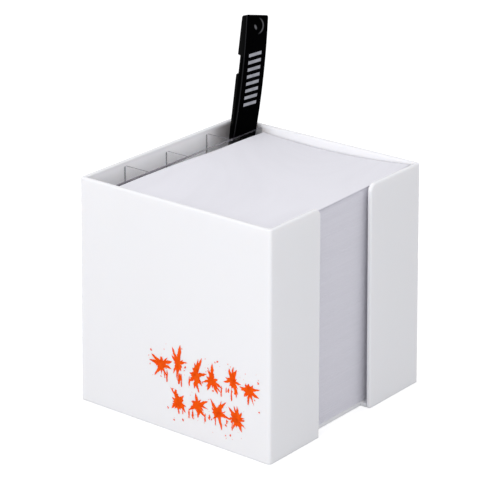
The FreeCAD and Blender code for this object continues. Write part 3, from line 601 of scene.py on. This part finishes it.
# %% Clear finish
def clear_plastic():
    """Clear styrene: open faces with faint upright flow lines, and dark edges at the top and at the ribs'
    ends, painted shade and reflection in place of how the edges refract light. The lower part is hazier, so
    that the sheet can be seen when it is lifted out of the box."""
    finish = Finish("clear_plastic", IOR=1.49, Transmission_Weight=1.0)
    edge = comb_edges(finish)
    dull = finish.z.fade(*DULL_FADE)
    face = finish.mix(dull, (0.97, 0.97, 0.98, 1.0), (0.62, 0.66, 0.72, 1.0))
    # Painted shade and reflection: the edges turn a dark metallic grey in place of how clear edges refract
    # light.
    finish.feed("Base Color", finish.mix(edge, face, (0.115, 0.10, 0.14, 1.0)))
    finish.feed("Metallic", edge)
    finish.feed("Alpha", 0.055 + 0.23 * dull + 0.65 * edge)
    finish.feed("Roughness", 0.03 + (0.03 + 0.25 * dull) * finish.noise(90, detail=2.0) + 0.3 * edge)
    flow = finish.noise(1.0, detail=2.0, at=finish.moved(scale=(220, 220, 24)))
    finish.bump(flow, 0.012 * MM)
    return finish


clear_plastic().on(comb)
print("clear finish made")

# %% [markdown]
# A refracting face stops the light that comes straight from a lamp, so a clear sheet would darken whatever
# stands behind it. The comb casts no shadow at all instead.

# %% No shadow from the comb
comb.visible_shadow = False
print("the comb casts a shadow:", comb.visible_shadow)

# %% [markdown]
# ## Note paper
#
# A cube of paper is hundreds of sheets, cut together, so its sides are the sheets' edges: fine level lines,
# a few of them a hair proud because the stack was squared by hand. The stack is a set of outlines, one for
# each few sheets, each moved by a little random amount.

# %% The paper stack
PAPER_SEED = 41
block_low, block_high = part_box("paper_block")
SHEETS_IN_LEAF = 0.45 * MM
EDGE_PLAY = 0.16 * MM
DRIFT_SHARE, SHAKE_SHARE = 0.55, 0.45
RING_CORNERS = np.array([[-1, -1], [0, -1], [1, -1], [1, 0], [1, 1], [0, 1], [-1, 1], [-1, 0]], float)


def paper_stack(name, low, high, body):
    """Each leaf is a ring of eight points: its rectangle, moved in X and Y by a small random amount and
    never outside the block. A ring stands twice at each height where two leaves meet, so every leaf has its
    own small step. The sideways place drifts slowly upwards and is shaken a little for every leaf."""
    random = np.random.default_rng(PAPER_SEED)
    leaves = int(round((high.z - low.z) / SHEETS_IN_LEAF))
    drift = np.cumsum(random.normal(0, 0.25, (leaves, 2)), axis=0)
    drift = DRIFT_SHARE * np.tanh(drift / 2) + random.uniform(-SHAKE_SHARE, SHAKE_SHARE, (leaves, 2))
    drift = EDGE_PLAY * drift
    heights = np.linspace(low.z, high.z, leaves + 1)
    half = np.array([high.x - low.x, high.y - low.y]) / 2 - EDGE_PLAY
    centre = np.array([high.x + low.x, high.y + low.y]) / 2
    level = centre + drift[:, None, :] + RING_CORNERS[None, :, :] * half
    both = np.stack([level, level], axis=1)
    z = np.stack([heights[:-1], heights[1:]], axis=1)
    around = len(RING_CORNERS)
    z = np.broadcast_to(z[:, :, None, None], (leaves, 2, around, 1))
    ring = np.concatenate([both, z], axis=3).reshape(-1, around, 3)
    rings = len(ring)
    start = np.arange(rings - 1)[:, None] * around
    here = (start + np.arange(around)[None, :]).ravel()
    after = (start + (np.arange(around)[None, :] + 1) % around).ravel()
    faces = np.stack([here, after, after + around, here + around], axis=1).tolist()
    faces.append(list(range(around - 1, -1, -1)))
    faces.append(list(range((rings - 1) * around, rings * around)))
    stack = make_mesh(name, ring.reshape(-1, 3), faces, body, smooth_angle=1.0)
    print(name, "has", leaves, "leaves")
    return stack


stack = paper_stack("paper_stack", block_low, block_high, "paper")
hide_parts("paper_block")

# %% [markdown]
# ### Sheets that lie in waves
#
# The upper sheets lie in long soft waves, as sheets do that have taken up damp. They could be simulated as
# cloth, but paper hardly stretches and its wave is known: nine heights and two sags along one edge. A leaf
# is the space between two such surfaces. Between them lie rings of points, two for each leaf, and each
# ring is moved a little aside, so that the edge of the pack shows single sheets.

# %% The wave
RIM_HEIGHT = shell_high.z
WAVE_DROPS = np.array([[1.15, 2.2, 3.1], [1.35, 2.7, 2.8], [3.05, 4.0, 1.1]]) * MM


def bent(values, place):
    """The parabola through three values at places -1, 0 and 1."""
    ends = (values[0] * place * (place - 1) + values[2] * place * (place + 1)) / 2
    return ends + values[1] * (1 - place ** 2)


def wave(u, v):
    """Height of the topmost sheet for u and v from -1 to 1: parabolas both ways, less two soft sags along
    the edge beside the comb, each a bell curve along the edge that dies out away from it."""
    rows = [bent(row, u) for row in WAVE_DROPS]
    sag = 0.25 * np.exp(-((v - 0.1) / 0.6) ** 4) + 0.4 * np.exp(-((v - 0.28) / 0.3) ** 2)
    return RIM_HEIGHT - bent(rows, v) - sag * MM * np.exp(-(u + 1) / 0.3)


print("the wave's middle is", round((RIM_HEIGHT - wave(0.0, 0.0)) / MM, 2), "mm below the rim")

# %% The loose sheets
SHEET_EDGE = 48


def sheets_between(name, low, high, leaves, play, node, body):
    """A pack of leaves between two heights, each a function of u and v. Ring k stands at its share of the
    way up, moved aside by a random step; both ends are closed by grids of the same surface."""
    random = np.random.default_rng(PAPER_SEED + leaves)
    box_low, box_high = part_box(node)
    centre = np.array([box_low.x + box_high.x, box_low.y + box_high.y]) / 2
    half = np.array([box_high.x - box_low.x, box_high.y - box_low.y]) / 2 - play
    line = np.linspace(-1, 1, SHEET_EDGE + 1)
    edge_u = np.concatenate([line[:-1], np.ones(SHEET_EDGE), line[:0:-1], -np.ones(SHEET_EDGE)])
    edge_v = np.concatenate([-np.ones(SHEET_EDGE), line[:-1], np.ones(SHEET_EDGE), line[:0:-1]])
    drift = random.uniform(-play, play, (leaves, 2)).repeat(2, axis=0)
    share = np.arange(leaves + 1).repeat(2)[1:-1] / leaves

    def placed(u, v, shift, part):
        z = low(u, v) + part * (high(u, v) - low(u, v))
        return np.stack([centre[0] + u * half[0] + shift[..., 0], centre[1] + v * half[1] + shift[..., 1], z],
                        axis=-1)

    rings = placed(edge_u[None, :], edge_v[None, :], drift[:, None, :], share[:, None])
    around = len(edge_u)
    ring = np.arange(len(rings) - 1)[:, None] * around
    here, after = ring + np.arange(around), ring + (np.arange(around) + 1) % around
    faces = [np.stack([here, after, after + around, here + around], axis=2).reshape(-1, 4)]
    points = [rings.reshape(-1, 3)]
    grid_u, grid_v = np.meshgrid(line, line)
    cell = (np.arange(SHEET_EDGE)[:, None] * (SHEET_EDGE + 1) + np.arange(SHEET_EDGE)).ravel()
    cap = np.stack([cell, cell + 1, cell + SHEET_EDGE + 2, cell + SHEET_EDGE + 1], axis=1)
    for level, order in ((0, -1), (-1, 1)):
        faces.append(cap[:, ::order] + sum(len(part) for part in points))
        points.append(placed(grid_u, grid_v, drift[level][None, None, :], share[level]).reshape(-1, 3))
    pack = make_mesh(name, np.concatenate(points), np.concatenate(faces).tolist(), body,
                     smooth_angle=30, weld=True)
    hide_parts(node)
    print(name, "has", leaves, "leaves and", len(pack.data.polygons), "faces")
    return pack


# %% Three surfaces and the two packs between them
TOP_LEAF_THICKNESS = 0.2 * MM
LOOSE_DROP = 0.42 * MM


def stack_level(u, v):
    """The stack's flat top."""
    return block_high.z + 0 * u * v


def loose_level(u, v):
    """The upper face of the loose sheets."""
    return wave(u, v) - LOOSE_DROP


def top_leaf_underside(u, v):
    """The lower face of the top sheet."""
    return wave(u, v) - TOP_LEAF_THICKNESS


loose = sheets_between("loose_leaves", stack_level, loose_level, leaves=8, play=0.14 * MM,
                       node="loose_sheets", body="paper")
top = sheets_between("top_leaf", top_leaf_underside, wave, leaves=1, play=0.1 * MM,
                     node="top_sheet", body="top_sheet")

# %% Paper finish
CUT_EDGES = (block_high.x - 0.8 * MM, block_high.x - 0.4 * MM)


def note_paper():
    """Uncoated paper: fibres as a fine noise, faint level bands where batches of sheets differ, no gloss.
    The cut edges at the slot are a shade darker than the faces."""
    finish = Finish("note_paper", Roughness=0.9, Specular_IOR_Level=0.1)
    bands = finish.noise(1.0, detail=3.0, rough=0.75, at=finish.moved(scale=(9, 9, 1700)))
    fibres = finish.noise(1500, detail=2.0)
    shade = (0.75 * bands + 0.25 * fibres).step(0.25, 0.75)
    face = finish.mix(shade, (0.785, 0.777, 0.815, 1.0), (0.825, 0.817, 0.857, 1.0))
    cut = finish.mix(shade, (0.69, 0.68, 0.732, 1.0), (0.73, 0.72, 0.772, 1.0))
    finish.feed("Base Color", finish.mix(finish.x.step(*CUT_EDGES), face, cut))
    finish.bump(fibres, 0.02 * MM)
    return finish


note_paper().on(stack, loose, top)
print("paper finish made")

# %% [markdown]
# ## The pen
#
# The pen is a slim flat giveaway pen in gloss black. Its clip and its push cap are one moulding; the cap
# slides over the neck of the barrel and presses the click mechanism. Carbon black swallows nearly all light,
# so its flat faces stay black. Its gloss is painted: highlights as thin lines along the rounded edges and as
# marks in the thumb dish, in a lighter metallic grey in place of lamp reflections. Masks for both are worked
# out in the pen's own upright frame.

# %% Pen skins
barrel = skin_of("pen_barrel", "pen", smooth_angle=28)
nose = skin_of("pen_nose", "pen", smooth_angle=40)
cap = skin_of("pen_cap_clip", "pen_plunger", smooth_angle=32)

# %% The pen's own frame
PEN_POINT = Vector((-44.200, 31.450, 2.000)) * MM
PEN_LEAN = Vector((0, 0, 1)).rotation_difference(Vector((0.03611, 0.12929, 0.99095)))
PEN_TURN = PEN_LEAN.to_matrix() @ Matrix.Rotation(math.radians(62.0), 3, "Z")
BOW_RADIUS, BOW_REACH, BOW_HEIGHT = 186.0 * MM, 6.0 * MM, 120.3 * MM
CLIP_FOOT, CLIP_HALF = 93.0 * MM, 5.2 * MM
DISH_HEIGHT = 144.6 * MM
print("pen leans", round(math.degrees(PEN_LEAN.angle), 1), "degrees")

# %% [markdown]
# ### Painted highlights: lines and spots that shine
#
# In the pen's frame u runs across the clip, v from face to back and w up. The clip's face stands at v = (w -
# bow)^2 / (2 radius) - reach, so how far a point lies behind it is one subtraction. An edge is where u is
# near its end and the point near the face; a thin painted highlight runs there. Two more painted highlights
# stand in the dish in place of lamp reflections: a spot, and a sickle along the far side, which is a ring
# that fades with the cosine of its angle.

# %% Masks on the pen
CLIP_LINE_SIDE = (CLIP_HALF - 0.34 * MM, CLIP_HALF - 0.22 * MM)
CLIP_LINE_DEEP = (0.25 * MM, 0.4 * MM)
BARREL_LINE_SIDE = (4.3 * MM, 4.7 * MM)
BARREL_LINE_PLACE, BARREL_LINE_HALF = 2.2 * MM, (0.3 * MM, 0.5 * MM)
CLIP_LINE_SHINE, BARREL_LINE_SHINE, SICKLE_SHINE = 0.14, 0.12, 0.8
FACE_DEPTH = (0.6 * MM, 1.0 * MM)
SICKLE_RADIUS, SICKLE_HALF = 3.9 * MM, (0.05 * MM, 0.4 * MM)
SICKLE_ACROSS, SICKLE_HEIGHT = 0.9 * MM, 0.6 * MM
SPOT_ACROSS, SPOT_LEAN, SPOT_HALF = 0.5 * MM, 0.35, (0.25 * MM, 0.75 * MM)


def painted_highlight_places(u, v, w):
    """Painted highlights: 1 where the black plastic shines most, less along the edges, 0 elsewhere."""
    rise = w - BOW_HEIGHT
    behind_face = v + BOW_REACH - rise * rise / (2 * BOW_RADIUS)
    clip = w.step(CLIP_FOOT - 2 * MM, CLIP_FOOT)
    clip_line = abs(u).step(*CLIP_LINE_SIDE) * behind_face.fade(*CLIP_LINE_DEEP) * clip
    barrel_line = (abs(u).step(*BARREL_LINE_SIDE) * abs(v + BARREL_LINE_PLACE).fade(*BARREL_LINE_HALF)
                   * (1.0 - clip))
    on_face = behind_face.fade(*FACE_DEPTH)
    up = w - DISH_HEIGHT
    off_u, off_w = u + SICKLE_ACROSS, up - SICKLE_HEIGHT
    away = (off_u * off_u + off_w * off_w).root()
    sickle = abs(away - SICKLE_RADIUS).fade(*SICKLE_HALF) * (off_u / away).step(0.35, 0.95) * on_face
    lean_u = u + SPOT_ACROSS + SPOT_LEAN * up
    spot = (lean_u * lean_u + 0.3 * (up * up)).root().fade(*SPOT_HALF) * on_face
    lines = (CLIP_LINE_SHINE * clip_line).larger(BARREL_LINE_SHINE * barrel_line)
    return lines.larger(SICKLE_SHINE * sickle).larger(spot)


# %% Black finish
COATED_SIDE = PEN_TURN @ Vector((0.7071, 0.7071, 0.0))
COAT_LEAN, COAT_WEIGHT = (0.2, 0.6), 0.55


def black_plastic():
    """Gloss black. The faces are dark and mirror very little; the places of the painted highlights are a dark
    grey mirror, lighter than the rest, in place of lamp reflections. The sides turned away from the clip have
    a clear coat: there the normal leans towards u + v."""
    finish = Finish("black_plastic", IOR=1.5, Specular_IOR_Level=0.003, Coat_Roughness=0.14)
    back_turn = PEN_TURN.transposed()
    upright = finish.moved(shift=-(back_turn @ PEN_POINT), turn=back_turn.to_euler("XYZ"))
    painted_highlight = painted_highlight_places(*finish.parts(upright))
    dark = finish.mix(finish.noise(300), (0.0004, 0.0004, 0.0005, 1), (0.0009, 0.0009, 0.0011, 1))
    # Painted highlights: where the mask is high the colour turns a lighter metallic grey, in place of lamp
    # reflections.
    finish.feed("Base Color", finish.mix(painted_highlight, dark, (0.12, 0.12, 0.13, 1)))
    finish.feed("Metallic", painted_highlight)
    geometry = finish.node("ShaderNodeNewGeometry")
    product = finish.node("ShaderNodeVectorMath", {"operation": "DOT_PRODUCT"},
                          {0: geometry.outputs["Normal"], 1: tuple(COATED_SIDE)})
    lean = Signal(finish, product.outputs["Value"])
    finish.feed("Coat Weight", lean.step(*COAT_LEAN, 0.0, COAT_WEIGHT))
    finish.feed("Roughness", 0.10 + 0.06 * finish.noise(500, detail=3.0) + 0.1 * painted_highlight)
    finish.bump(finish.noise(700, detail=2.0), 0.006 * MM)
    return finish


black_plastic().on(barrel, nose, cap)
print("pen skins finished")

# %% [markdown]
# ### The print on the clip
#
# The clip of a giveaway pen carries a silver pad print. A row of plain slanted bars stands here. The bars
# lie on the clip's bowed face, so they are worked out in the pen's own upright frame, on the same bow that
# the clip has, and then turned and leaned as the pen is.

# %% Silver bars on the clip
PEN_STANCE = np.array(PEN_TURN)
FIRST_BAR, BARS = 110.2 * MM, 8
BAR_HALF = 2.9 * MM
POINTS_ACROSS, POINTS_ALONG = 13, 4
BAR_WIDE, BAR_PITCH, BAR_SLANT = 1.45 * MM, 3.15 * MM, 0.3


def clip_bars(first, count):
    """Bar k: across goes from -half to half and along from 0 to 1; height = first + k * pitch + wide *
    along + slant * across. The face is reach - radius + sqrt(radius^2 - (height - bow)^2) before the pen's
    axis."""
    k = np.arange(count)[:, None, None]
    across = np.linspace(-1, 1, POINTS_ACROSS)[None, :, None] * BAR_HALF
    along = np.linspace(0, 1, POINTS_ALONG)[None, None, :]
    height = first + k * BAR_PITCH + BAR_WIDE * along + BAR_SLANT * across
    across = across + 0 * height
    rise = (height - BOW_HEIGHT) / BOW_RADIUS
    ahead = BOW_REACH - BOW_RADIUS + BOW_RADIUS * np.sqrt(1 - rise ** 2)
    upright = np.stack([across, -ahead, height], axis=-1)
    out = np.stack([0 * rise, -np.sqrt(1 - rise ** 2), rise], axis=-1)
    return upright @ PEN_STANCE.T + np.array(PEN_POINT), out @ PEN_STANCE.T


bars = ink_film("clip_bars", *clip_bars(FIRST_BAR, BARS), "pen_plunger")
screen_ink("silver_ink", (0.27, 0.275, 0.30, 1.0), (0.35, 0.355, 0.38, 1.0), 0.4).on(bars)

# %% [markdown]
# ## The parts inside the pen
#
# Nothing of the mechanism shows until the pen is taken apart, but each piece has its own stuff: natural
# acetal for the tube and the toothed rotor, a polythene tube with blue ink, turned brass and drawn steel
# wire.

# %% Inner finishes
INNER_GRAIN = 900


def plain_finish(name, colour, roughness, metallic):
    """A quiet finish for an inner piece: one colour with a fine grain in its tone, roughness and height."""
    finish = Finish(name, Metallic=metallic)
    speckle = finish.noise(INNER_GRAIN, detail=3.0)
    darker = tuple(0.85 * channel for channel in colour[:3]) + (1.0,)
    finish.feed("Base Color", finish.mix(speckle, darker, colour))
    finish.feed("Roughness", roughness * 0.85 + 0.3 * roughness * speckle)
    finish.bump(speckle, 0.008 * MM)
    return finish


INNER_PIECES = {
    "pen_thrust_tube": ((0.72, 0.72, 0.70, 1.0), 0.45, 0.0),
    "pen_cam": ((0.78, 0.77, 0.72, 1.0), 0.4, 0.0),
    "pen_refill_tube": ((0.06, 0.09, 0.30, 1.0), 0.3, 0.0),
    "pen_refill_point": ((0.66, 0.50, 0.26, 1.0), 0.28, 1.0),
    "pen_spring": ((0.55, 0.55, 0.56, 1.0), 0.25, 1.0),
}
for name, (colour, roughness, metallic) in INNER_PIECES.items():
    plain_finish(name + "_finish", colour, roughness, metallic).on(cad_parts[name])
print("inner pieces finished:", len(INNER_PIECES))

# %% [markdown]
# ## Floor, backdrop and light
#
# A soft product light is one broad lamp in front, a small weak one on the right and an even pale room round
# it all. The room is white where it is seen, also in reflections, and light grey where it only lights, so
# the white backdrop costs no extra light on the box. The floor glows where it is seen, so that it joins
# the backdrop without a line, and it still catches the box's shadow.

# %% Telling rays apart
SEEN_RAYS = ("Is Glossy Ray", "Is Transmission Ray")


def seen_directly(tree):
    """1 for what the camera, a glossy ray or a refracted ray sees, 0 for light that only fills."""
    path = tree.nodes.new("ShaderNodeLightPath")
    total = path.outputs["Is Camera Ray"]
    for name in SEEN_RAYS:
        larger = tree.nodes.new("ShaderNodeMath")
        larger.operation = "MAXIMUM"
        tree.links.new(total, larger.inputs[0])
        tree.links.new(path.outputs[name], larger.inputs[1])
        total = larger.outputs[0]
    return total


# %% The room
ROOM_FILL = (0.838, 0.839, 0.862, 1.0)
WHITE = (1.0, 1.0, 1.0, 1.0)


def make_room():
    """The world: white where it is seen, an even cool grey where it only lights."""
    world = bpy.data.worlds.new("pale_room")
    bpy.context.scene.world = world
    world.use_nodes = True
    tree = world.node_tree
    blend = tree.nodes.new("ShaderNodeMix")
    blend.data_type = "RGBA"
    blend.inputs[6].default_value = ROOM_FILL
    blend.inputs[7].default_value = WHITE
    tree.links.new(seen_directly(tree), blend.inputs[0])
    tree.links.new(blend.outputs[2], tree.nodes["Background"].inputs["Color"])


make_room()
print("room made")

# %% The floor
FLOOR_RADIUS, FLOOR_INNER = 2.4, 0.15
FLOOR_RINGS, FLOOR_SIDES = 9, 64
FLOOR_DROP = 0.0001
FLOOR_TONE, FLOOR_GLOW = 0.55, 0.62


def floor_mesh():
    """A disc: rings of points at radius r and angle a, x = r cos a and y = r sin a, all at height 0."""
    rings = np.linspace(FLOOR_INNER, 1, FLOOR_RINGS)[:, None] * FLOOR_RADIUS
    angle = np.linspace(0, 2 * np.pi, FLOOR_SIDES, endpoint=False)[None, :]
    flat = np.stack([rings * np.cos(angle), rings * np.sin(angle), 0 * rings * angle], axis=2).reshape(-1, 3)
    faces = [list(range(FLOOR_SIDES))]
    for ring in range(FLOOR_RINGS - 1):
        inner, outer = ring * FLOOR_SIDES, (ring + 1) * FLOOR_SIDES
        for step in range(FLOOR_SIDES):
            after = (step + 1) % FLOOR_SIDES
            faces.append([inner + step, outer + step, outer + after, inner + after])
    mesh = bpy.data.meshes.new("floor")
    mesh.from_pydata(flat.tolist(), [], faces)
    return mesh


def floor_material():
    """A matt grey that glows by itself where it is seen."""
    material = bpy.data.materials.new("pale_floor")
    material.use_nodes = True
    tree = material.node_tree
    shader = tree.nodes["Principled BSDF"]
    shader.inputs["Base Color"].default_value = (FLOOR_TONE, FLOOR_TONE, FLOOR_TONE, 1.0)
    shader.inputs["Roughness"].default_value = 0.9
    shader.inputs["Specular IOR Level"].default_value = 0.0
    shader.inputs["Emission Color"].default_value = WHITE
    glow = tree.nodes.new("ShaderNodeMath")
    glow.operation = "MULTIPLY"
    glow.inputs[1].default_value = FLOOR_GLOW
    tree.links.new(seen_directly(tree), glow.inputs[0])
    tree.links.new(glow.outputs[0], shader.inputs["Emission Strength"])
    return material


floor = bpy.data.objects.new("floor", floor_mesh())
floor.data.materials.append(floor_material())
floor.location.z = -FLOOR_DROP
bpy.context.scene.collection.objects.link(floor)
print("floor has", len(floor.data.polygons), "faces")

# %% Lamps
LAMP_TARGET = Vector((0.0, 0.0, 0.05))


def soft_lamp(name, place, size, power, colour=(1.0, 1.0, 1.0)):
    """An area lamp at a place, turned towards the middle of the box."""
    light = bpy.data.lights.new(name, "AREA")
    light.color = colour
    light.shape = "RECTANGLE"
    light.size, light.size_y = size
    light.energy = power
    lamp = bpy.data.objects.new(name, light)
    lamp.location = place
    lamp.rotation_euler = (LAMP_TARGET - Vector(place)).to_track_quat("-Z", "Y").to_euler()
    bpy.context.scene.collection.objects.link(lamp)


soft_lamp("front_window", place=(-0.15, -1.15, 0.5), size=(0.9, 0.8), power=4.85)
soft_lamp("side_window", place=(0.5, -0.42, 0.3), size=(0.3, 0.3), power=0.72, colour=(0.94, 0.965, 1.0))
bpy.context.scene.view_settings.view_transform = "Standard"
print("lamps:", [item.name for item in bpy.data.lights])
